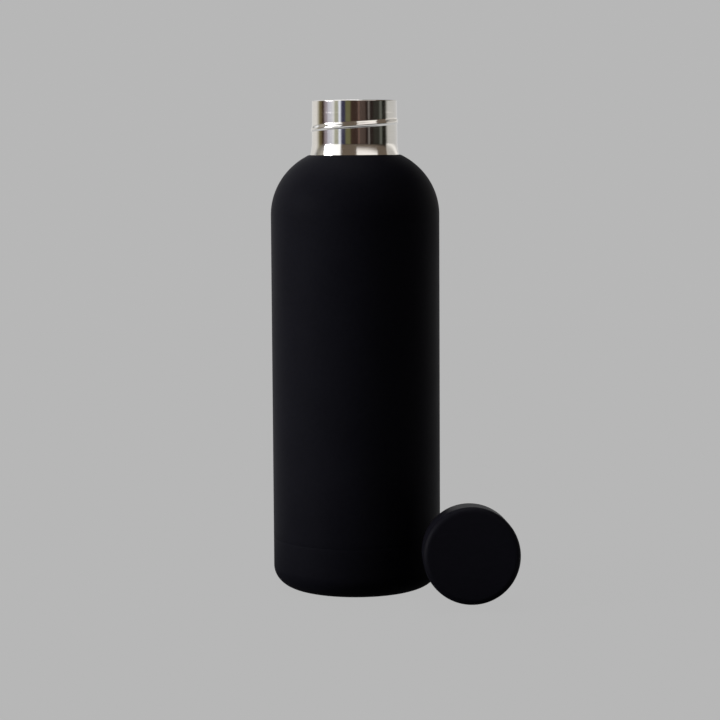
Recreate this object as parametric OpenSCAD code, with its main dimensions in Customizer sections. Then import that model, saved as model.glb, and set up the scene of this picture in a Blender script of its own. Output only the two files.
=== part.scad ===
// Double-wall steel vacuum flask with a screw cap.
// The bottle stands on its base with its axis on Z and the origin at the
// centre of the base. The cap lies beside it, disc to the front, where it
// was put down after unscrewing.

/* [Bottle] */
// Outer diameter of the bottle body
body_d = 70; // [64:0.5:80]
// Height of the ledge where the coating stops
ledge_h = 181; // [150:1:240]
// Width of the rounded shoulder, from the body inwards
shoulder_w = 29; // [24:0.5:30]
// Height of the rounded shoulder's ellipse
shoulder_h = 27.8; // [22:0.2:36]
// Corner radius at the foot, sideways
foot_rx = 11; // [4:0.2:12]
// Corner radius at the foot, upwards
foot_rz = 9.4; // [4:0.2:12]
// Height of the weld between the body tube and the base cup
seam_h = 21.5; // [16:0.5:40]
// Wall thickness of the outer bottle
outer_t = 0.6; // [0.4:0.1:0.8]
// Wall thickness of the inner bottle
inner_t = 0.5; // [0.4:0.1:0.6]
// Vacuum gap between the two bottles
gap = 3.4; // [2.6:0.1:5]

/* [Neck] */
// Plain outer diameter of the steel neck
neck_d = 35.3; // [34:0.1:36]
// Height of the neck above the ledge
neck_h = 22.4; // [22:0.2:26]
// Inner diameter of the mouth
mouth_d = 30.6; // [29:0.1:31]
// How far the rolled thread bead stands out
bead_out = 0.6; // [0.4:0.05:0.8]
// Height of the rolled thread bead
bead_h = 4.4; // [3:0.1:4.6]
// Pitch of the thread
pitch = 7; // [6:0.1:7.4]

/* [Cap] */
// Outer diameter of the cap
cap_d = 39; // [38.8:0.1:40]
// Height of the cap
cap_h = 28; // [27.6:0.1:30]
// Edge radius round the cap's top disc
cap_edge = 2.4; // [0.8:0.1:3]
// Wall thickness of the cap's outer cup
cap_t = 0.35; // [0.3:0.05:0.4]

/* [Hidden] */
$fn = 96;
eps = 0.01;

body_r = body_d/2;
neck_r = neck_d/2;
mouth_r = mouth_d/2;
rim_h = ledge_h + neck_h;
cap_r = cap_d/2;

// shoulder ellipse: its axis radius, the ledge radius and its centre height
sh_x = body_r - shoulder_w;
ledge_r = 19.05;
sh_c = (ledge_r - sh_x)/shoulder_w;
sh_z = ledge_h - shoulder_h*sqrt(1 - sh_c*sh_c);

// inner bottle
lin_r = body_r - outer_t - gap;            // outside radius
lin_neck = mouth_r + inner_t;              // outside radius of its neck
lin_z = sh_z - 2.5;                        // its shoulder's centre height
lin_sw = 22.2;                             // its shoulder's width
lin_sh = 24;                               // its shoulder's height
lin_x = lin_r - lin_sw;
lin_c = (lin_neck - lin_x)/lin_sw;
lin_top = lin_z + lin_sh*sqrt(1 - lin_c*lin_c);
lin_seam = 14;                             // weld height of its bottom cup
lin_rc = 5;                                // corner radius of its bottom cup
lin_low = 7.6;                             // underside of its bottom cup

foot_flat = 19.4;                          // radius of the recess under the base
flare = 4.8;                               // height of the neck's flare
flare_r = 18.4;                            // neck's radius where it meets the shoulder
sink = 0.9;                                // how far the neck reaches into the shoulder

// cap, in its own frame: z 0 at the skirt's lower edge, top disc at cap_h
cap_shut = ledge_h + 0.7;                  // skirt's lower edge when screwed on
rim_w = rim_h - cap_shut;                  // the rim, in the cap's frame
ins_r = cap_r - cap_t;                     // outside radius of the thread insert
ins_in = 18.65;                            // its bore
ridge_in = 17.9;                           // crest of its thread ridges
web_w = rim_w + 1.1;                       // underside of the insert's web

// the path the cap is carried along: a turn about one line
swing_p = [-0.4, 121, 115.5];
swing_n = [-0.957, 0.199, -0.212];
swing_a = 86.3;
held_top = 280;                            // top disc's height over the mouth

// ---- outlines -----------------------------------------------------------

function arc_pts(cx, cz, rx, rz, a0, a1, n) =
    [for (i = [0:n]) let (a = a0 + (a1 - a0)*i/n) [cx + rx*cos(a), cz + rz*sin(a)]];
function rev(v) = [for (i = [len(v)-1:-1:0]) v[i]];

sh_end = acos(sh_c);
// outside and inside of the painted shell, foot of the tube to the ledge
shell_out = concat([[body_r, seam_h]], arc_pts(sh_x, sh_z, shoulder_w, shoulder_h, 0, sh_end, 18));
sh_end_in = acos((ledge_r + 0.1 - sh_x)/(shoulder_w - outer_t));
shell_in = concat([[body_r - outer_t, seam_h]],
    arc_pts(sh_x, sh_z, shoulder_w - outer_t, shoulder_h - outer_t, 0, sh_end_in, 18),
    [[flare_r, ledge_h - sink], [flare_r, ledge_h]]);

lin_end = acos(lin_c);
liner_out = concat([[lin_r, lin_seam]], arc_pts(lin_x, lin_z, lin_sw, lin_sh, 0, lin_end, 16),
    [[lin_neck, rim_h - 0.5]]);
liner_in = concat([[lin_r - inner_t, lin_seam]],
    arc_pts(lin_x, lin_z, lin_sw - inner_t, lin_sh - inner_t, 0, lin_end, 16),
    [[mouth_r, lin_top + 1], [mouth_r, rim_h - 0.5]]);

// outside radius of the neck's flare, z above the ledge
function bell(z) = neck_r + (flare_r - neck_r)*pow(max(0, (flare - z)/flare), 1.3);

// ---- helical ridge ------------------------------------------------------

// A ridge wound on a cylinder of radius r. It stands out by h (inwards when
// h is negative), w high, over the given turns, and runs out at both ends.
// low is the share of its height below the crest.
module ridge(r, h, w, turns, z0, start, low = 0.5, seg = 48) {
    n = ceil(turns*seg);
    s = sign(h);
    d = w*low;
    u = w*(1 - low);
    prof = [[-0.25*s, -d], [0.30*h, -0.68*d], [0.80*h, -0.32*d], [h, 0],
            [0.80*h, 0.32*u], [0.30*h, 0.68*u], [-0.25*s, u]];
    m = len(prof);
    pts = [for (i = [0:n]) let (t = i/n, a = start + 360*turns*t,
                k = min(1, t*turns*8, (1 - t)*turns*8), z = z0 + pitch*turns*t)
           for (p = prof) let (q = p[0]*s > 0 ? p[0]*max(k, 0.02) : p[0])
               [(r + q)*cos(a), (r + q)*sin(a), z + p[1]]];
    side = [for (i = [0:n-1], j = [0:m-1]) let (b = i*m, c = (i+1)*m, k = (j+1)%m)
            s > 0 ? [b+j, b+k, c+k, c+j] : [b+j, c+j, c+k, b+k]];
    ends = s > 0 ? [[for (j = [m-1:-1:0]) j], [for (j = [0:m-1]) n*m + j]]
                 : [[for (j = [0:m-1]) j], [for (j = [m-1:-1:0]) n*m + j]];
    polyhedron(points = pts, faces = concat(side, ends), convexity = 6);
}

// puts a part drawn in the cap's frame where the cap lies beside the bottle
module cap_place() {
    translate(swing_p) rotate(a = -swing_a, v = swing_n) translate(-swing_p)
        translate([0, 0, held_top - cap_h]) children();
}

module ring(r0, r1, z0, z1) {
    difference() {
        translate([0, 0, z0]) cylinder(r = r1, h = z1 - z0);
        translate([0, 0, z0 - 1]) cylinder(r = r0, h = z1 - z0 + 2);
    }
}

// ---- bottle -------------------------------------------------------------

// coated body tube with its drawn shoulder
module outer_shell() color([0.05, 0.05, 0.06])
    rotate_extrude() polygon(concat(shell_out, rev(shell_in)));

// pressed base cup, with a recess for the cover
module outer_base() color([0.05, 0.05, 0.06])
    difference() {
        rotate_extrude() polygon(concat(
            [[foot_flat, 0]],
            arc_pts(body_r - foot_rx, foot_rz, foot_rx, foot_rz, -90, 0, 12),
            [[body_r, seam_h - eps], [body_r - outer_t, seam_h - eps]],
            arc_pts(body_r - foot_rx, foot_rz, foot_rx - outer_t, foot_rz - outer_t, 0, -90, 12),
            [[foot_flat + outer_t, outer_t], [foot_flat + outer_t, 2.6], [0, 2.6], [0, 2], [foot_flat, 2]]));
        cylinder(r = 1.2, h = 10, center = true);
    }

// bare steel neck: flare from the ledge, plain wall, rolled thread, lip
module threaded_neck() color([0.78, 0.78, 0.8]) {
    z_fl = [for (i = [0:10]) flare*i/10];
    out = concat([[flare_r, ledge_h - sink]],
        [for (z = z_fl) [bell(z), ledge_h + z]],
        [[neck_r, rim_h - 0.5]],
        arc_pts(neck_r - 0.5, rim_h - 0.5, 0.5, 0.5, 0, 90, 8));
    inn = concat([[lin_neck, rim_h], [lin_neck, rim_h - 1.2], [neck_r - outer_t, rim_h - 2.2]],
        [for (z = rev(z_fl)) [bell(z) - outer_t, ledge_h + z]],
        [[flare_r - outer_t, ledge_h - sink]]);
    rotate_extrude() polygon(concat(out, inn));
    ridge(neck_r, bead_out, bead_h, 1.1, rim_h - 14.5, 60, 0.39);
}

// inner bottle, without its bottom cup
module inner_liner() color([0.7, 0.7, 0.72])
    rotate_extrude() polygon(concat(liner_out, rev(liner_in)));

// bottom cup of the inner bottle
module liner_bottom() color([0.7, 0.7, 0.72])
    rotate_extrude() polygon(concat(
        [[0, lin_low]],
        arc_pts(lin_r - lin_rc, lin_low + lin_rc, lin_rc, lin_rc, -90, 0, 10),
        [[lin_r, lin_seam - eps], [lin_r - inner_t, lin_seam - eps]],
        arc_pts(lin_r - lin_rc, lin_low + lin_rc, lin_rc - inner_t, lin_rc - inner_t, 0, -90, 10),
        [[0, lin_low + inner_t]]));

// heat-reflecting foil round the inner bottle
module foil_wrap() color([0.72, 0.45, 0.3])
    ring(lin_r + 0.1, lin_r + 0.3, 26, sh_z - 6);

// gas-absorbing pellet
module getter() color([0.35, 0.35, 0.36])
    translate([12, 0, 3.1]) cylinder(r = 3.4, h = 2.4);

// dish that holds the pellet, spot-welded to the base
module getter_cup() color([0.7, 0.7, 0.72])
    translate([12, 0, 0]) difference() {
        translate([0, 0, 2.6]) cylinder(r = 4.2, h = 2);
        translate([0, 0, 3.1]) cylinder(r = 3.5, h = 5);
    }

// glass bead that closes the evacuation hole
module port_seal() color([0.2, 0.3, 0.28])
    rotate_extrude() polygon([[0, 1.4], [1.6, 1.4], [2.4, 1.7], [2.4, 1.99], [1.18, 1.99],
                              [1.18, 2.6], [0, 2.6]]);

// round cover set flush in the recess under the base
module base_cover() color([0.05, 0.05, 0.06])
    cylinder(r = foot_flat - 0.1, h = 1.2);

// ---- cap ----------------------------------------------------------------

// coated outer cup of the cap
module cap_shell() color([0.04, 0.04, 0.05]) cap_place()
    rotate_extrude() polygon(concat(
        [[0, cap_h]], rev(arc_pts(cap_r - cap_edge, cap_h - cap_edge, cap_edge, cap_edge, 0, 90, 8)),
        [[cap_r, 0.2], [cap_r - 0.15, 0], [ins_r, 0]],
        arc_pts(cap_r - cap_edge, cap_h - cap_edge, cap_edge - cap_t, cap_edge - cap_t, 0, 90, 8),
        [[0, cap_h - cap_t]]));

// plastic insert with the internal thread and a web over the seal
module cap_insert() color([0.12, 0.12, 0.13]) cap_place() {
    rotate_extrude() polygon([[ins_in, 1], [ins_r - eps, 1], [ins_r - eps, web_w + 1.2],
        [0, web_w + 1.2], [0, web_w], [ins_in, web_w]]);
    ridge(ins_in, ridge_in - ins_in, 2.4, 1.25, 5.3, 200);
}

// insulating disc between the web and the top
module cap_foam() color([0.9, 0.88, 0.8]) cap_place()
    translate([0, 0, web_w + 1.25]) cylinder(r = cap_r - cap_edge - 0.6, h = cap_h - cap_t - web_w - 1.35);

// hollow plug that hangs from the web into the mouth
module cap_plug() color([0.12, 0.12, 0.13]) cap_place()
    difference() {
        translate([0, 0, web_w - 7.4]) cylinder(r1 = mouth_r - 1.6, r2 = mouth_r - 0.8, h = 7.4 - eps);
        translate([0, 0, web_w - 6.2]) cylinder(r = mouth_r - 2.9, h = 8);
    }

// foam inside the plug
module plug_foam() color([0.9, 0.88, 0.8]) cap_place()
    translate([0, 0, web_w - 6.15]) cylinder(r = mouth_r - 3, h = 6);

// flat silicone seal that meets the lip
module cap_gasket() color([0.75, 0.75, 0.76]) cap_place()
    ring(mouth_r - 0.7, neck_r + 0.2, web_w - 1.2, web_w - eps);

outer_shell();
outer_base();
threaded_neck();
inner_liner();
liner_bottom();
foil_wrap();
getter();
getter_cup();
port_seal();
base_cover();
cap_shell();
cap_insert();
cap_foam();
cap_plug();
plug_foam();
cap_gasket();
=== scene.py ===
import bpy
import math
from mathutils import Matrix, Vector


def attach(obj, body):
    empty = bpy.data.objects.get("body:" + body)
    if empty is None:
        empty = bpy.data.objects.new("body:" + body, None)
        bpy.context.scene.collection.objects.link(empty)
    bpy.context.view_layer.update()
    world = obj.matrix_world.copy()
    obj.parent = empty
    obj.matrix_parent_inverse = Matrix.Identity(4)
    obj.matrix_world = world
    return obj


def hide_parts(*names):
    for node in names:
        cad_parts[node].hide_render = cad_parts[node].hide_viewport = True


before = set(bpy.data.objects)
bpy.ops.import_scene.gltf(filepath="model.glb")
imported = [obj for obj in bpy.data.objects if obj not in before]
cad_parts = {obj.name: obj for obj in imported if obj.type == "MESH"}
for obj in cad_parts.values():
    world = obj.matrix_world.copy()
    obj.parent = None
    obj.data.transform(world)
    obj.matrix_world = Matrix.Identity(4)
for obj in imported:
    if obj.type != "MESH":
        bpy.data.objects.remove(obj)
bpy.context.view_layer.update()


MM = 0.001

# ---------------------------------------------------------------- design numbers, in mm, the same as the CAD
BODY_R, SEAM_H, LEDGE_H, RIM_H = 35.0, 21.5, 181.0, 203.4
SH_W, SH_H, LEDGE_R = 29.0, 27.8, 19.05
SH_X = BODY_R - SH_W
SH_C = (LEDGE_R - SH_X) / SH_W
SH_Z = LEDGE_H - SH_H * math.sqrt(1 - SH_C * SH_C)
OUT_T, IN_T, GAP = 0.6, 0.5, 3.4
FOOT_RX, FOOT_RZ, FOOT_FLAT = 11.0, 9.4, 19.4
NECK_R, MOUTH_R, PITCH = 17.65, 15.3, 7.0
BEAD_OUT, BEAD_H, BEAD_LOW, BEAD_TURNS, BEAD_Z0, BEAD_START = 0.43, 3.15, 0.29, 1.1, RIM_H - 14.5, 60.0
FLARE, FLARE_R, SINK = 4.8, 18.4, 0.9
LIN_R = BODY_R - OUT_T - GAP
LIN_NECK = MOUTH_R + IN_T
LIN_Z, LIN_SW, LIN_SH = SH_Z - 2.5, 22.2, 24.0
LIN_X = LIN_R - LIN_SW
LIN_C = (LIN_NECK - LIN_X) / LIN_SW
LIN_TOP = LIN_Z + LIN_SH * math.sqrt(1 - LIN_C * LIN_C)
LIN_SEAM, LIN_LOW, LIN_RC = 14.0, 7.6, 5.0
CAP_R, CAP_H, CAP_EDGE, CAP_T = 19.5, 28.0, 2.4, 0.35
CAP_SHUT = LEDGE_H + 0.7
WEB_W = RIM_H - CAP_SHUT + 1.1
INS_R, INS_IN, RIDGE_IN = CAP_R - CAP_T, 18.65, 17.9
SWING_P = Vector((-0.4, 121.0, 115.5))
SWING_N = Vector((-0.957, 0.199, -0.212)).normalized()
SWING_A = math.radians(86.3)
HELD_TOP = 280.0

CAP_M = (Matrix.Translation(SWING_P) @ Matrix.Rotation(-SWING_A, 4, SWING_N) @ Matrix.Translation(-SWING_P)
         @ Matrix.Translation((0, 0, HELD_TOP - CAP_H)))
SCALE = Matrix.Scale(MM, 4)


# ---------------------------------------------------------------- meshes
def arc(cx, cz, rx, rz, a0, a1, n):
    return [(cx + rx * math.cos(math.radians(a0 + (a1 - a0) * i / n)),
             cz + rz * math.sin(math.radians(a0 + (a1 - a0) * i / n))) for i in range(n + 1)]


def line(p, q, n):
    return [(p[0] + (q[0] - p[0]) * i / n, p[1] + (q[1] - p[1]) * i / n) for i in range(1, n + 1)]


def lathe(name, prof, seg=256, place=None, wave=None, closed=True, sharp=32):
    """A solid of revolution. prof is a loop of (r, z) in mm, counter-clockwise. wave(angle, r, z, i) may change r."""
    verts, rows = [], []
    for i, (r, z) in enumerate(prof):
        if r < 1e-6:
            rows.append([len(verts)])
            verts.append((0, 0, z))
        else:
            row = []
            for j in range(seg):
                a = 2 * math.pi * j / seg
                q = wave(a, r, z, i) if wave else r
                row.append(len(verts))
                verts.append((q * math.cos(a), q * math.sin(a), z))
            rows.append(row)
    faces = []
    n = len(prof)
    for i in range(n if closed else n - 1):
        a, b = rows[i], rows[(i + 1) % n]
        if len(a) == 1 and len(b) == 1:
            continue
        for j in range(seg):
            k = (j + 1) % seg
            if len(a) == 1:
                faces.append((a[0], b[k], b[j]))
            elif len(b) == 1:
                faces.append((a[j], a[k], b[0]))
            else:
                faces.append((a[j], a[k], b[k], b[j]))
    me = bpy.data.meshes.new(name)
    me.from_pydata(verts, [], faces)
    me.transform(SCALE @ (place if place is not None else Matrix.Identity(4)))
    me.update()
    me.polygons.foreach_set("use_smooth", [True] * len(me.polygons))
    me.set_sharp_from_angle(angle=math.radians(sharp))
    ob = bpy.data.objects.new(name, me)
    bpy.context.scene.collection.objects.link(ob)
    return ob


def smooth01(t):
    t = max(0.0, min(1.0, t))
    return t * t * (3 - 2 * t)


def helix_bump(a, z, z0, start, turns, height, low=0.5, up=1.0, down=1.0, run_out=34.0):
    """0 to 1: how much of a helical ridge's section stands at this angle and height. low is the share below its crest."""
    best = 0.0
    base = (math.degrees(a) - start) % 360.0
    for k in range(int(turns) + 2):
        t = base + 360.0 * k
        if t > 360.0 * turns:
            break
        d = z - (z0 + PITCH * t / 360.0)
        u = d / (height * (1 - low)) if d > 0 else -d / (height * low)
        if u < 1:
            env = smooth01(t / run_out) * smooth01((360.0 * turns - t) / run_out)
            best = max(best, env * (0.5 + 0.5 * math.cos(math.pi * u)) ** (up if d > 0 else down))
    return best


# ---------------------------------------------------------------- materials
def new_mat(name):
    m = bpy.data.materials.new(name)
    m.use_nodes = True
    nt = m.node_tree
    nt.nodes.clear()
    out = nt.nodes.new("ShaderNodeOutputMaterial")
    bs = nt.nodes.new("ShaderNodeBsdfPrincipled")
    nt.links.new(bs.outputs[0], out.inputs[0])
    return m, nt, bs


def coords(nt, scale=(1, 1, 1), loc=(0, 0, 0)):
    tc = nt.nodes.new("ShaderNodeTexCoord")
    mp = nt.nodes.new("ShaderNodeMapping")
    mp.inputs["Scale"].default_value = scale
    mp.inputs["Location"].default_value = loc
    nt.links.new(tc.outputs["Object"], mp.inputs["Vector"])
    return mp.outputs[0]


def noise(nt, vec, scale, detail=2.0, rough=0.5, dist=0.0):
    n = nt.nodes.new("ShaderNodeTexNoise")
    n.inputs["Scale"].default_value = scale
    n.inputs["Detail"].default_value = detail
    n.inputs["Roughness"].default_value = rough
    n.inputs["Distortion"].default_value = dist
    nt.links.new(vec, n.inputs["Vector"])
    return n.outputs["Fac"]


def ramp(nt, fac, stops):
    r = nt.nodes.new("ShaderNodeValToRGB")
    r.color_ramp.interpolation = "B_SPLINE" if len(stops) > 2 else "LINEAR"
    while len(r.color_ramp.elements) < len(stops):
        r.color_ramp.elements.new(0.5)
    for e, (p, c) in zip(r.color_ramp.elements, stops):
        e.position = p
        e.color = (c[0], c[1], c[2], 1) if isinstance(c, (tuple, list)) else (c, c, c, 1)
    nt.links.new(fac, r.inputs[0])
    return r.outputs[0]


def rng(nt, fac, a, b, c, d, mode="LINEAR"):
    r = nt.nodes.new("ShaderNodeMapRange")
    r.interpolation_type = mode
    r.clamp = True
    nt.links.new(fac, r.inputs["Value"])
    for k, v in zip(("From Min", "From Max", "To Min", "To Max"), (a, b, c, d)):
        r.inputs[k].default_value = v
    return r.outputs[0]


def op(nt, kind, a, b=None, c=None):
    n = nt.nodes.new("ShaderNodeMath")
    n.operation = kind
    for k, v in enumerate((a, b, c)):
        if v is None:
            continue
        if isinstance(v, (int, float)):
            n.inputs[k].default_value = v
        else:
            nt.links.new(v, n.inputs[k])
    return n.outputs[0]


def bump(nt, bs, height, strength, dist, prev=None):
    b = nt.nodes.new("ShaderNodeBump")
    b.inputs["Strength"].default_value = strength
    b.inputs["Distance"].default_value = dist
    nt.links.new(height, b.inputs["Height"])
    if prev is not None:
        nt.links.new(prev, b.inputs["Normal"])
    nt.links.new(b.outputs[0], bs.inputs["Normal"])
    return b.outputs[0]


def mixc(nt, fac, a, b):
    m = nt.nodes.new("ShaderNodeMix")
    m.data_type = "RGBA"
    for sock, v in ((m.inputs[0], fac), (m.inputs[6], a), (m.inputs[7], b)):
        if isinstance(v, (int, float)):
            sock.default_value = v
        elif isinstance(v, (tuple, list)):
            sock.default_value = (v[0], v[1], v[2], 1)
        else:
            nt.links.new(v, sock)
    return m.outputs[2]


def soft_coat(name, dark, light, r0, r1, grain=1.0, spec=0.35):
    """Rubbery powder coat: fine even grain, faint mottling in tone and gloss."""
    m, nt, bs = new_mat(name)
    v = coords(nt)
    big = noise(nt, v, 38, 3, 0.55)
    fine = noise(nt, v, 2600, 2, 0.55)
    mid = noise(nt, v, 620, 3, 0.6)
    tone = ramp(nt, op(nt, "ADD", op(nt, "MULTIPLY", big, 0.6), op(nt, "MULTIPLY", mid, 0.4)),
                [(0.35, dark), (0.65, light)])
    nt.links.new(tone, bs.inputs["Base Color"])
    rough = rng(nt, op(nt, "ADD", op(nt, "MULTIPLY", big, 0.5), op(nt, "MULTIPLY", fine, 0.5)), 0.35, 0.65, r0, r1)
    nt.links.new(rough, bs.inputs["Roughness"])
    bs.inputs["Specular IOR Level"].default_value = spec
    b = bump(nt, bs, fine, 0.22 * grain, 0.00006)
    bump(nt, bs, mid, 0.10 * grain, 0.00008, b)
    return m


def steel(name, tint, r0, r1, ring=0.0, line_scale=1.0, wave=0.0):
    """Stainless steel with polishing marks that run round the axis."""
    m, nt, bs = new_mat(name)
    bs.inputs["Metallic"].default_value = 1.0
    v = coords(nt)
    vs = coords(nt, (6, 6, 900 * line_scale))
    marks = noise(nt, vs, 3.0, 3, 0.6)
    cloud = noise(nt, v, 120, 3, 0.5)
    col = ramp(nt, op(nt, "ADD", op(nt, "MULTIPLY", marks, 0.5), op(nt, "MULTIPLY", cloud, 0.5)),
               [(0.35, tuple(c * 0.93 for c in tint)), (0.65, tint)])
    nt.links.new(col, bs.inputs["Base Color"])
    nt.links.new(rng(nt, op(nt, "ADD", op(nt, "MULTIPLY", marks, 0.6), op(nt, "MULTIPLY", cloud, 0.4)),
                     0.35, 0.65, r0, r1), bs.inputs["Roughness"])
    b = bump(nt, bs, marks, ring, 0.00003)
    if wave:
        bump(nt, bs, noise(nt, coords(nt, (1, 1, 0.35)), 190, 1, 0.4), wave, 0.0003, b)
    return m


def moulded(name, dark, light, rough0, rough1, grain=0.25, **kw):
    m, nt, bs = new_mat(name)
    v = coords(nt)
    n1, n2 = noise(nt, v, 1500, 2, 0.6), noise(nt, v, 90, 3, 0.5)
    nt.links.new(ramp(nt, n2, [(0.35, dark), (0.65, light)]), bs.inputs["Base Color"])
    nt.links.new(rng(nt, op(nt, "ADD", op(nt, "MULTIPLY", n1, 0.5), op(nt, "MULTIPLY", n2, 0.5)),
                     0.35, 0.65, rough0, rough1), bs.inputs["Roughness"])
    bump(nt, bs, n1, grain, 0.00006)
    for k, val in kw.items():
        bs.inputs[k.replace("_", " ")].default_value = val
    return m


BODY = soft_coat("body_coat", (0.0105, 0.0105, 0.0155), (0.0135, 0.0135, 0.0195), 0.50, 0.58, 1.0, 0.024)
BASE = BODY
COVER = soft_coat("cover_coat", (0.008, 0.008, 0.0095), (0.012, 0.012, 0.0135), 0.42, 0.52, 1.4)
CAPC = soft_coat("cap_coat", (0.0090, 0.0088, 0.0138), (0.0115, 0.0112, 0.0172), 0.46, 0.54, 0.9, 0.06)
NECK = steel("neck_steel", (0.83, 0.815, 0.79), 0.09, 0.14, 0.05, 1.0, 0.08)
INNER = steel("inner_steel", (0.66, 0.65, 0.64), 0.20, 0.34, 0.25, 0.5)
PLAST = moulded("cap_plastic", (0.018, 0.018, 0.020), (0.026, 0.026, 0.029), 0.38, 0.5)
SILIC = moulded("silicone", (0.60, 0.60, 0.60), (0.68, 0.68, 0.67), 0.42, 0.55, 0.12)
FOAM = moulded("foam", (0.70, 0.67, 0.58), (0.84, 0.81, 0.72), 0.85, 0.95, 0.8)
FOIL = steel("foil", (0.72, 0.40, 0.26), 0.18, 0.35, 0.3, 0.3, 0.3)
PILL = moulded("getter_metal", (0.08, 0.08, 0.085), (0.14, 0.14, 0.145), 0.6, 0.8, 0.6, Metallic=0.8)
GLASS = moulded("seal_glass", (0.02, 0.05, 0.045), (0.03, 0.07, 0.06), 0.08, 0.18, 0.05)


def give(ob, mat, body, slot, *nodes):
    ob.data.materials.clear()
    ob.data.materials.append(mat)
    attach(ob, body)
    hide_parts(*nodes)
    return ob


# ---------------------------------------------------------------- bottle
def rev(p):
    return list(reversed(p))


sh_end = math.degrees(math.acos(SH_C))
# body tube and shoulder; the coat ends on a narrow ledge round the neck
out = ([(BODY_R - 0.07, SEAM_H), (BODY_R - 0.03, SEAM_H + 0.08), (BODY_R, SEAM_H + 0.22)]
       + line((BODY_R, SEAM_H + 0.22), (BODY_R, SH_Z), 60)
       + arc(SH_X, SH_Z, SH_W, SH_H, 0, sh_end - 0.35, 90)[1:])
lip = [(LEDGE_R - 0.02, LEDGE_H - 0.05), (LEDGE_R - 0.10, LEDGE_H - 0.005), (LEDGE_R - 0.2, LEDGE_H), (FLARE_R + 0.01, LEDGE_H),
       (FLARE_R + 0.01, LEDGE_H - SINK)]
in_end = math.degrees(math.acos((LEDGE_R + 0.1 - SH_X) / (SH_W - OUT_T)))
inner = rev([(BODY_R - OUT_T, SEAM_H)] + line((BODY_R - OUT_T, SEAM_H), (BODY_R - OUT_T, SH_Z), 12)
            + arc(SH_X, SH_Z, SH_W - OUT_T, SH_H - OUT_T, 0, in_end, 40)[1:])
shell = lathe("bottle_shell", out + lip + inner, 320)
give(shell, BODY, "bottle", "body_coat", "outer_shell")

bx = BODY_R - FOOT_RX
base = lathe("bottle_base",
             [(FOOT_FLAT, 0.25), (FOOT_FLAT + 0.25, 0.0)] + arc(bx, FOOT_RZ, FOOT_RX, FOOT_RZ, -90, 0, 48)
             + line((BODY_R, FOOT_RZ), (BODY_R, SEAM_H - 0.22), 10)
             + [(BODY_R - 0.03, SEAM_H - 0.08), (BODY_R - 0.07, SEAM_H), (BODY_R - OUT_T, SEAM_H)]
             + arc(bx, FOOT_RZ, FOOT_RX - OUT_T, FOOT_RZ - OUT_T, 0, -90, 24)
             + [(FOOT_FLAT + OUT_T, OUT_T), (FOOT_FLAT + OUT_T, 2.6), (1.2, 2.6), (1.2, 2.0), (FOOT_FLAT, 2.0)], 320)
give(base, BASE, "bottle", "base_coat", "outer_base")

cover = lathe("base_cover_plate",
              [(0, 0.14), (6.0, 0.14), (6.5, 0.02), (7.0, 0.14), (14.6, 0.14), (15.4, 0.0), (18.7, 0.0), (19.05, 0.06),
               (19.25, 0.3), (19.3, 1.2), (0, 1.2)], 192)
give(cover, COVER, "bottle", "cover_coat", "base_cover")

# neck: flare, plain wall with the rolled bead, curled lip
fl = [(FLARE_R, LEDGE_H - SINK), (FLARE_R, LEDGE_H - 0.3)]
for i in range(48):
    z = FLARE * i / 48
    fl.append((NECK_R + (FLARE_R - NECK_R) * ((FLARE - z) / FLARE) ** 1.3, LEDGE_H + z))
wall = line((NECK_R, LEDGE_H + FLARE), (NECK_R, RIM_H - 0.45), 220)
liparc = arc(NECK_R - 0.4, RIM_H - 0.4, 0.4, 0.4, 0, 90, 14)
n_out = len(fl) + len(wall) + len(liparc)
back = ([(LIN_NECK, RIM_H - 0.02), (LIN_NECK, RIM_H - 1.2), (NECK_R - OUT_T, RIM_H - 2.2)]
        + [(r - OUT_T, z) for r, z in rev(fl)])


def neck_wave(a, r, z, i):
    """The bead, a hair of taper, and the shallow roller mark under the lip."""
    if i >= n_out or z < LEDGE_H + 0.2:
        return r
    k = smooth01((z - LEDGE_H) / 9.0)
    q = r + BEAD_OUT * helix_bump(a, z, BEAD_Z0, BEAD_START, BEAD_TURNS, BEAD_H, BEAD_LOW, 1.6, 0.5)
    q += k * 0.012 * (192.0 - z)
    q += 0.026 * math.exp(-((z - 197.95) / 0.5) ** 2)
    return q


neck = lathe("neck_collar", fl + wall + liparc + back, 384, wave=neck_wave, sharp=50)
give(neck, NECK, "bottle", "neck_steel", "threaded_neck")

lin_end = math.degrees(math.acos(LIN_C))
lo = ([(LIN_R, LIN_SEAM)] + line((LIN_R, LIN_SEAM), (LIN_R, LIN_Z), 12) + arc(LIN_X, LIN_Z, LIN_SW, LIN_SH, 0, lin_end, 40)[1:]
      + [(LIN_NECK, RIM_H - 0.65), (LIN_NECK - 0.06, RIM_H - 0.5)])
li = ([(MOUTH_R + 0.08, RIM_H - 0.5), (MOUTH_R, RIM_H - 0.7)] + line((MOUTH_R, RIM_H - 0.7), (MOUTH_R, LIN_TOP + 1), 10)
      + rev(arc(LIN_X, LIN_Z, LIN_SW - IN_T, LIN_SH - IN_T, 0, lin_end, 60))
      + line((LIN_R - IN_T, LIN_Z), (LIN_R - IN_T, LIN_SEAM), 14))
liner = lathe("inner_bottle", lo + li, 256)
give(liner, INNER, "bottle", "inner_steel", "inner_liner")

cr = LIN_RC
cup = lathe("inner_bottom_cup",
            [(0, LIN_LOW)] + arc(LIN_R - cr, LIN_LOW + cr, cr, cr, -90, 0, 30) + [(LIN_R, LIN_SEAM), (LIN_R - IN_T, LIN_SEAM)]
            + arc(LIN_R - cr, LIN_LOW + cr, cr - IN_T, cr - IN_T, 0, -90, 30) + [(9.0, LIN_LOW + IN_T), (8.2, LIN_LOW + IN_T + 0.22),
                                                                              (0, LIN_LOW + IN_T + 0.22)], 256)
give(cup, INNER, "bottle", "inner_steel", "liner_bottom")

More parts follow.
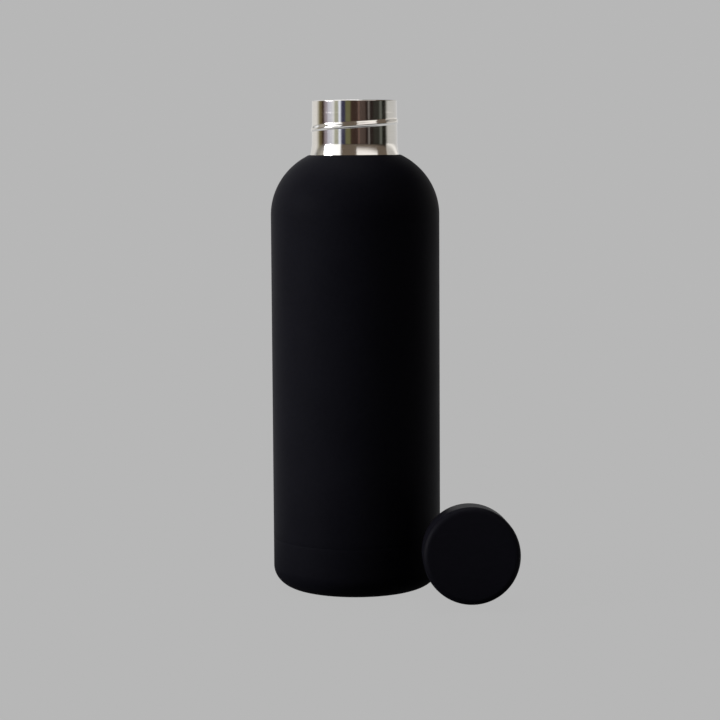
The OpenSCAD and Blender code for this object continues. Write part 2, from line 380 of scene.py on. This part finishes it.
# ---------------------------------------------------------------- cap
w = CAP_EDGE
cap_out = ([(CAP_R - 0.16, 0.0), (CAP_R - 0.03, 0.10), (CAP_R, 0.26)] + line((CAP_R, 0.26), (CAP_R, CAP_H - w), 24)
           + arc(CAP_R - w, CAP_H - w, w, w, 0, 90, 24)[1:] + line((CAP_R - w, CAP_H), (0.0, CAP_H), 12))
cap_in = ([(0, CAP_H - CAP_T)] + [(CAP_R - w, CAP_H - CAP_T)] + arc(CAP_R - w, CAP_H - w, w - CAP_T, w - CAP_T, 90, 0, 10)
          + [(INS_R, 0.12), (INS_R + 0.06, 0.0)])
cap = lathe("cap_cup", cap_out + cap_in, 320, CAP_M)
give(cap, CAPC, "cap", "cap_coat", "cap_shell")

rows = line((INS_IN + 0.1, WEB_W - 0.3), (INS_IN, 1.3), 110)
ins_prof = [(INS_IN + 0.18, 1.0), (INS_R - 0.01, 1.0), (INS_R - 0.01, WEB_W + 1.2), (0, WEB_W + 1.2), (0, WEB_W), (INS_IN, WEB_W)] + rows
n_fix = 6


def ins_wave(a, r, z, i):
    if i < n_fix:
        return r
    return r + (RIDGE_IN - INS_IN) * helix_bump(a, z, 5.3, 200.0, 1.25, 2.6)


ins = lathe("cap_thread_insert", ins_prof, 320, CAP_M, ins_wave, sharp=40)
give(ins, PLAST, "cap", "cap_plastic", "cap_insert")

pb, pt = WEB_W - 7.4, WEB_W - 0.01
plug = lathe("cap_plug_cup",
             [(0, pb + 0.5), (7.5, pb + 0.5), (8.2, pb)] + line((8.2, pb), (MOUTH_R - 2.4, pb), 3)
             + arc(MOUTH_R - 2.4, pb + 0.8, 0.8, 0.8, -90, -5, 8)
             + [(MOUTH_R - 0.8, pt), (MOUTH_R - 2.9, pt), (MOUTH_R - 2.9, pb + 1.2), (0, pb + 1.2)], 256, CAP_M)
give(plug, PLAST, "cap", "cap_plastic", "cap_plug")

g0, g1, gz0, gz1 = MOUTH_R - 0.7, NECK_R + 0.2, WEB_W - 1.2, WEB_W - 0.01
seal = lathe("cap_seal_ring",
             [(g0 + 0.2, gz0), (g0 + 0.9, gz0), (g0 + 1.15, gz0 + 0.18), (g1 - 1.15, gz0 + 0.18), (g1 - 0.9, gz0), (g1 - 0.2, gz0),
              (g1, gz0 + 0.2), (g1, gz1 - 0.1), (g1 - 0.1, gz1), (g0 + 0.1, gz1), (g0, gz1 - 0.1), (g0, gz0 + 0.2)], 256, CAP_M, sharp=60)
give(seal, SILIC, "cap_seal", "silicone", "cap_gasket")

# hidden pieces keep their CAD shape
for node, mat in (("foil_wrap", FOIL), ("getter", PILL), ("getter_cup", INNER), ("port_seal", GLASS), ("cap_foam", FOAM), ("plug_foam", FOAM)):
    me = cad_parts[node].data
    me.materials.clear()
    me.materials.append(mat)

# ---------------------------------------------------------------- floor, light and camera
GREY = 0.474
m, nt, bs = new_mat("floor")
nt.nodes.remove(bs)


def shader(kind, colour, strength=None):
    n = nt.nodes.new(kind)
    n.inputs["Color"].default_value = (colour, colour, colour, 1)
    if strength is not None:
        n.inputs["Strength"].default_value = strength
    return n.outputs[0]


def mix_shader(fac, a, b):
    n = nt.nodes.new("ShaderNodeMixShader")
    if isinstance(fac, (int, float)):
        n.inputs[0].default_value = fac
    else:
        nt.links.new(fac, n.inputs[0])
    nt.links.new(a, n.inputs[1])
    nt.links.new(b, n.inputs[2])
    return n.outputs[0]


# the floor is pale and even where it is seen. The glow it gives off to the object is painted light and shade: in
# reflections a painted shadow darkens it close round the bottle, and it throws little light back up at the matt black
# coat except from a painted pool of light at the left
FLOOR_GLOW = 1.033
seen = mix_shader(0.05, shader("ShaderNodeEmission", GREY, FLOOR_GLOW), shader("ShaderNodeBsdfDiffuse", GREY))
path = nt.nodes.new("ShaderNodeLightPath")
fpos = nt.nodes.new("ShaderNodeTexCoord")
fsep = nt.nodes.new("ShaderNodeSeparateXYZ")
nt.links.new(fpos.outputs["Object"], fsep.inputs[0])
fdist = op(nt, "SQRT", op(nt, "ADD", op(nt, "MULTIPLY", fsep.outputs[0], fsep.outputs[0]), op(nt, "MULTIPLY", fsep.outputs[1], fsep.outputs[1])))
# painted shadow: the floor's glow in reflections is dim (0.15) within 7 cm of the bottle's axis and full (1.25) from 16
# cm out
glossy_floor_glow_painted_shadow = mix_shader(rng(nt, fdist, 0.07, 0.16, 0, 1, "SMOOTHSTEP"), shader("ShaderNodeEmission", GREY, 0.15), shader("ShaderNodeEmission", GREY, 1.25))
# painted light: the floor's glow on matt surfaces is a pool, bright (1.1) left of x = -14 cm and near black (0.006)
# right of x = -2 cm
matt_floor_glow_painted_light = mix_shader(rng(nt, fsep.outputs[0], -0.14, -0.02, 0, 1, "SMOOTHSTEP"), shader("ShaderNodeEmission", GREY, 1.1), shader("ShaderNodeEmission", GREY, 0.006))
painted_floor_glow = mix_shader(path.outputs["Is Glossy Ray"], matt_floor_glow_painted_light, glossy_floor_glow_painted_shadow)
nt.links.new(mix_shader(path.outputs["Is Camera Ray"], painted_floor_glow, seen),
             [n for n in nt.nodes if n.type == "OUTPUT_MATERIAL"][0].inputs[0])
me = bpy.data.meshes.new("floor")
N = 96
FLOOR_R = 1.3
me.from_pydata([(FLOOR_R * math.cos(2 * math.pi * i / N), FLOOR_R * math.sin(2 * math.pi * i / N), -0.00005) for i in range(N)],
               [], [tuple(range(N))])
me.materials.append(m)
floor = bpy.data.objects.new("floor", me)
bpy.context.scene.collection.objects.link(floor)

# a studio: tall soft light at the left, a soft light high at the right front, pale wall behind, dark room in front
wd = bpy.data.worlds.new("studio")
bpy.context.scene.world = wd
wd.use_nodes = True
nt = wd.node_tree
nt.nodes.clear()
tc = nt.nodes.new("ShaderNodeTexCoord")
sp = nt.nodes.new("ShaderNodeSeparateXYZ")
nt.links.new(tc.outputs["Generated"], sp.inputs[0])
az = op(nt, "MULTIPLY", op(nt, "ARCTAN2", sp.outputs[0], op(nt, "MULTIPLY", sp.outputs[1], -1.0)), 180 / math.pi)
el = op(nt, "MULTIPLY", op(nt, "ARCSINE", sp.outputs[2]), 180 / math.pi)


def window(v, lo, hi, s):
    return op(nt, "MULTIPLY", rng(nt, v, lo - s, lo + s, 0, 1, "SMOOTHSTEP"), rng(nt, v, hi - s, hi + s, 1, 0, "SMOOTHSTEP"))


def stops(lst, lo):
    """A colour band round the horizon: [(azimuth, colour), ...] from lo to lo + 180 degrees."""
    r = nt.nodes.new("ShaderNodeValToRGB")
    while len(r.color_ramp.elements) < len(lst):
        r.color_ramp.elements.new(0.5)
    for e, (a_, c_) in zip(r.color_ramp.elements, lst):
        e.position = (a_ - lo) / 180.0
        e.color = (c_[0], c_[1], c_[2], 1)
    nt.links.new(rng(nt, az, lo, lo + 180, 0, 1), r.inputs[0])
    s3 = nt.nodes.new("ShaderNodeSeparateXYZ")
    nt.links.new(r.outputs[0], s3.inputs[0])
    return s3.outputs


# what stands level with the bottle: pale wall behind, a bright window and dark furniture in front
LEFT_BAND = [(-180, (0.70, 0.70, 0.70)), (-160, (0.72, 0.71, 0.69)), (-126, (0.80, 0.77, 0.74)), (-116, (0.50, 0.47, 0.40)),
             (-108, (0.16, 0.13, 0.06)), (-101, (0.12, 0.09, 0.045)), (-97, (0.04, 0.022, 0.012)), (-92, (0.05, 0.032, 0.022)),
             (-88, (0.28, 0.23, 0.25)), (-80, (0.33, 0.29, 0.32)), (-76, (0.56, 0.55, 0.62)), (-64, (0.66, 0.66, 0.72)),
             (-60, (0.80, 0.80, 0.82)), (-57, (0.70, 0.70, 0.68)), (-54, (0.40, 0.40, 0.30)), (-45, (0.38, 0.38, 0.29)),
             (-43, (0.85, 0.88, 1.0)), (-38.5, (0.90, 0.94, 1.05)), (-36, (0.10, 0.10, 0.16)), (-34, (0.038, 0.036, 0.075)),
             (-26, (0.040, 0.038, 0.070)), (-23, (0.15, 0.145, 0.072)), (-13, (0.15, 0.142, 0.070)), (-9.5, (0.048, 0.028, 0.020)),
             (0, (0.045, 0.026, 0.020))]
RIGHT_BAND = [(0, (0.045, 0.026, 0.020)), (8.5, (0.050, 0.030, 0.024)), (10.5, (0.18, 0.115, 0.095)), (13, (0.16, 0.105, 0.085)),
              (15, (0.090, 0.065, 0.054)), (28, (0.080, 0.056, 0.047)), (32, (0.020, 0.012, 0.010)), (36, (0.022, 0.014, 0.012)),
              (37.5, (0.20, 0.18, 0.165)), (40.5, (0.20, 0.18, 0.165)), (42, (0.024, 0.016, 0.014)), (50, (0.022, 0.016, 0.013)),
              (54, (0.034, 0.032, 0.026)), (70, (0.032, 0.031, 0.025)), (73, (0.13, 0.135, 0.115)), (78, (0.13, 0.135, 0.115)),
              (81, (0.014, 0.013, 0.010)), (92, (0.018, 0.017, 0.013)), (98, (0.40, 0.39, 0.36)), (103, (0.58, 0.57, 0.54)),
              (135, (0.60, 0.59, 0.57)), (150, (0.62, 0.61, 0.60)), (180, (0.70, 0.70, 0.70))]
lb, rb = stops(LEFT_BAND, -180), stops(RIGHT_BAND, 0)
is_r = op(nt, "GREATER_THAN", az, 0.0)
is_l = op(nt, "SUBTRACT", 1.0, is_r)
lp = nt.nodes.new("ShaderNodeLightPath")
dim = rng(nt, lp.outputs["Is Glossy Ray"], 0, 1, 0.15, 1)
level = [window(el, -60, 9, 2), op(nt, "MULTIPLY", dim, window(el, -60, 8, 2))]
side = op(nt, "MULTIPLY", op(nt, "MULTIPLY", dim, window(az, 95, 157, 3)), window(el, 5, 24, 2))
chan = []
for k, c in enumerate((0.52, 0.50, 0.47)):
    band = op(nt, "ADD", op(nt, "MULTIPLY", level[0], op(nt, "MULTIPLY", is_l, lb[k])), op(nt, "MULTIPLY", level[1], op(nt, "MULTIPLY", is_r, rb[k])))
    chan.append(op(nt, "ADD", band, op(nt, "MULTIPLY", side, c)))

# above it. azimuth from, to, elevation from, to, softness of each, colour
# the last number says where it counts in full: 0 everywhere, 1 in the light on matt surfaces, 2 in reflections, 3 more on matt surfaces
PATCHES = [
    (-87, -64, 9.5, 21, 1.5, 1.5, (27.0, 27.0, 27.4), 3),  # long soft light at the left
    (-86, -64, 21, 38, 2, 2, (1.6, 1.6, 1.62), 2),
    (-64, -38, 8.5, 36, 2, 2, (1.3, 1.3, 1.3), 0),           # its dimmer front part
    (-118, -90, 10, 50, 5, 5, (0.42, 0.39, 0.34), 2),
    (-150, -120, 12, 60, 4, 6, (1.45, 1.45, 1.46), 3),         # its glow on the wall behind it
    (-150, -38, 58, 80, 3, 3, (3.4, 3.4, 3.43), 1),          # and overhead
    (-181, 181, 80, 91, 3, 3, (10.0, 10.0, 10.0), 1),
    (5, 64, 16.5, 40, 2, 2.5, (0.95, 0.93, 0.91), 2),        # soft light at the right front
    (-38, 98, 10, 90, 3, 2, (0.15, 0.118, 0.090), 2),        # dim ceiling
    (-181, -155, 10, 70, 5, 5, (0.80, 0.80, 0.80), 0),       # wall behind, upper part
    (155, 181, 10, 70, 5, 5, (0.45, 0.45, 0.45), 0),
]
share = [1.0, rng(nt, lp.outputs["Is Glossy Ray"], 0, 1, 1, 0.6), dim, rng(nt, lp.outputs["Is Glossy Ray"], 0, 1, 1.3, 0.7)]
for a0, a1, e0, e1, sa, se, col, kind in PATCHES:
    wgt = op(nt, "MULTIPLY", share[kind], op(nt, "MULTIPLY", window(az, a0, a1, sa), window(el, e0, e1, se)))
    for k in range(3):
        chan[k] = op(nt, "ADD", chan[k], op(nt, "MULTIPLY", wgt, col[k]))
comb = nt.nodes.new("ShaderNodeCombineXYZ")
for k in range(3):
    nt.links.new(chan[k], comb.inputs[k])
b_light = nt.nodes.new("ShaderNodeBackground")
nt.links.new(comb.outputs[0], b_light.inputs[0])
nt.links.new(rng(nt, lp.outputs["Is Glossy Ray"], 0, 1, 0.333, 1), b_light.inputs[1])
b_cam = nt.nodes.new("ShaderNodeBackground")
b_cam.inputs[0].default_value = (GREY, GREY, GREY, 1)
mix = nt.nodes.new("ShaderNodeMixShader")
nt.links.new(lp.outputs["Is Camera Ray"], mix.inputs[0])
nt.links.new(b_light.outputs[0], mix.inputs[1])
nt.links.new(b_cam.outputs[0], mix.inputs[2])
wo = nt.nodes.new("ShaderNodeOutputWorld")
nt.links.new(mix.outputs[0], wo.inputs[0])

D, H, PITCH_C, F, ROLL, CX = 0.9200, 0.1876, math.radians(5.714), 2210.6, math.radians(-0.347), 355.95
fwd = Vector((0, math.cos(PITCH_C), -math.sin(PITCH_C)))
right = Vector((1, 0, 0))
up = Vector((0, math.sin(PITCH_C), math.cos(PITCH_C)))
r2 = right * math.cos(ROLL) + up * math.sin(ROLL)
u2 = up * math.cos(ROLL) - right * math.sin(ROLL)
cam_d = bpy.data.cameras.new("camera")
cam = bpy.data.objects.new("camera", cam_d)
bpy.context.scene.collection.objects.link(cam)
cam_d.sensor_width = 36
cam_d.lens = F / 720 * 36
cam_d.shift_x = (360 - CX) / 720
cam_d.clip_start = 0.01
cam_d.clip_end = 50
mw = Matrix(((r2.x, u2.x, -fwd.x, 0), (r2.y, u2.y, -fwd.y, -D), (r2.z, u2.z, -fwd.z, H), (0, 0, 0, 1)))
cam.matrix_world = mw
bpy.context.scene.camera = cam
bpy.context.scene.view_settings.view_transform = "Standard"
bpy.context.scene.view_settings.look = "None"
